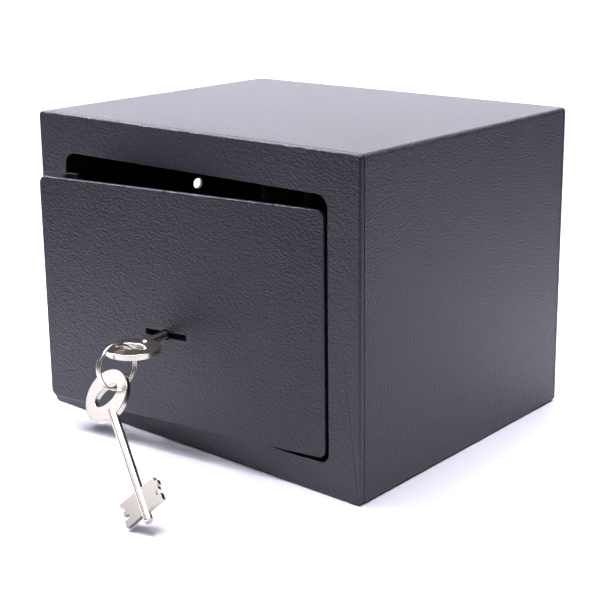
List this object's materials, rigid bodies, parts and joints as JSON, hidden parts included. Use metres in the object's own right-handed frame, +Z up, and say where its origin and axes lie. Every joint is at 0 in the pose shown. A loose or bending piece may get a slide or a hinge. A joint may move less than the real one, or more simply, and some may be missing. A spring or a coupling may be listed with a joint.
{
  "type": "small key-lock safe",
  "caption": "Small steel box safe with a side-hinged door, a double-bitted key lock that throws round bolts, and a spare key on a split ring.",
  "frame": {"origin": "middle of the body's underside, which stands on the floor", "axes": "+X to the right along the front as the user faces the door, +Y from the door to the back, +Z up"},
  "size_m": [0.23, 0.2746, 0.173],
  "materials": {
    "grey_coat": "fine rippled anthracite powder coat",
    "dark_coat": "thin matt black coat",
    "zinc": "bright zinc plate",
    "steel": "turned steel",
    "brass": "stamped brass",
    "nickel": "polished nickel plate",
    "felt": "black needle felt"
  },
  "bodies": {
    "body": {"body_shell": "grey_coat", "front_plate": "grey_coat", "back_plate": "grey_coat", "floor_mat": "felt", "hinge_block_lower": "dark_coat", "hinge_block_upper": "dark_coat", "hinge_pin_lower": "zinc", "hinge_washer": "brass"},
    "door": {"door_plate": "grey_coat", "door_lug_lower": "dark_coat", "door_lug_upper": "dark_coat", "hinge_pin_upper": "dark_coat", "hinge_side_dog": "dark_coat", "bolt_guide": "dark_coat", "lock_bridge": "dark_coat", "lock_case": "zinc", "lock_cover": "zinc", "case_screw_1": "steel", "case_screw_2": "steel", "case_screw_3": "steel", "case_screw_4": "steel", "cover_screw_1": "steel", "cover_screw_2": "steel", "lock_lever_1": "brass", "lock_lever_2": "brass", "lock_lever_3": "brass", "lever_post": "steel"},
    "bolts": {"bolt_carrier": "zinc", "bolt_lower": "steel", "bolt_upper": "steel", "lock_slide": "brass", "tail_screw": "steel"},
    "key": {"working_key": "nickel"},
    "ring": {"key_ring": "nickel"},
    "spare": {"spare_key": "nickel"}
  },
  "joints": [
    {"name": "door_swing", "type": "hinge", "parent": "body", "child": "door", "pos_m": [0.0787, -0.0855, 0.08], "axis": [0, 0, 1], "range_deg": [-9, 101]},
    {"name": "key_turn", "type": "hinge", "parent": "door", "child": "key", "pos_m": [-0.00352, -0.10561, 0.0668], "axis": [0.1564, -0.9877, 0], "range_deg": [0, 180]},
    {"name": "bolt_throw", "type": "slide", "parent": "door", "child": "bolts", "axis": [-0.9877, -0.1564, 0], "range_m": [0, 0.014]},
    {"name": "ring_turn", "type": "hinge", "parent": "key", "child": "ring", "pos_m": [-0.00161, -0.14139, 0.05945], "axis": [-0.9927, 0.0931, -0.0764], "range_deg": [0, 40]},
    {"name": "spare_swing", "type": "hinge", "parent": "ring", "child": "spare", "pos_m": [-0.00113, -0.14496, 0.04879], "axis": [-0.1124, -0.9437, 0.3111], "range_deg": [0, 20]}
  ],
  "couplings": [
    {"joint": "key_turn", "follows": "bolt_throw", "rad_per_m": 224.3}
  ]
}
